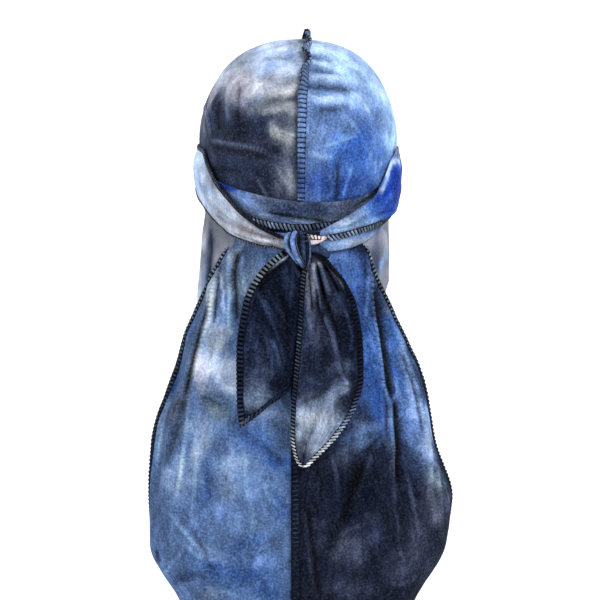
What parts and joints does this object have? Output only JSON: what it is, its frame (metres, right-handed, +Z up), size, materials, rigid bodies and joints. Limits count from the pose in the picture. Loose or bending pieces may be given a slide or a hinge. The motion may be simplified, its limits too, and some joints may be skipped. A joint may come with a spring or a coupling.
{
  "type": "durag",
  "caption": "Worn durag: close two-part crown with a centre seam, long ties wrapped round the head and knotted at the back, and a wide cape hanging behind.",
  "frame": {"origin": "the inner top of the crown, where it rests on the wearer's head", "axes": "+Z up, +Y the way the wearer faces, +X to the wearer's right; the knot and the cape are on the -Y side"},
  "size_m": [0.2349, 0.2278, 0.4986],
  "materials": {
    "velvet_light": "crushed velvet, tie-dyed pale blue, lavender and charcoal",
    "velvet_blue": "crushed velvet, tie-dyed royal blue",
    "velvet_dark": "crushed velvet, tie-dyed navy and charcoal",
    "velvet_reverse": "smooth reverse side of the velvet",
    "seam_cloth": "overlocked seam allowance, near-black thread"
  },
  "bodies": {
    "root": {"crown_left": "velvet_light", "crown_right": "velvet_blue", "crown_seam": "seam_cloth", "side_fall_left": "velvet_reverse", "side_fall_right": "velvet_reverse", "cape_left": "velvet_blue", "cape_right": "velvet_dark", "cape_seam": "seam_cloth", "tie_left": "velvet_light", "tie_right": "velvet_blue", "knot": "velvet_dark", "tie_end_left": "velvet_dark", "tie_end_right": "velvet_dark"}
  },
  "joints": []
}
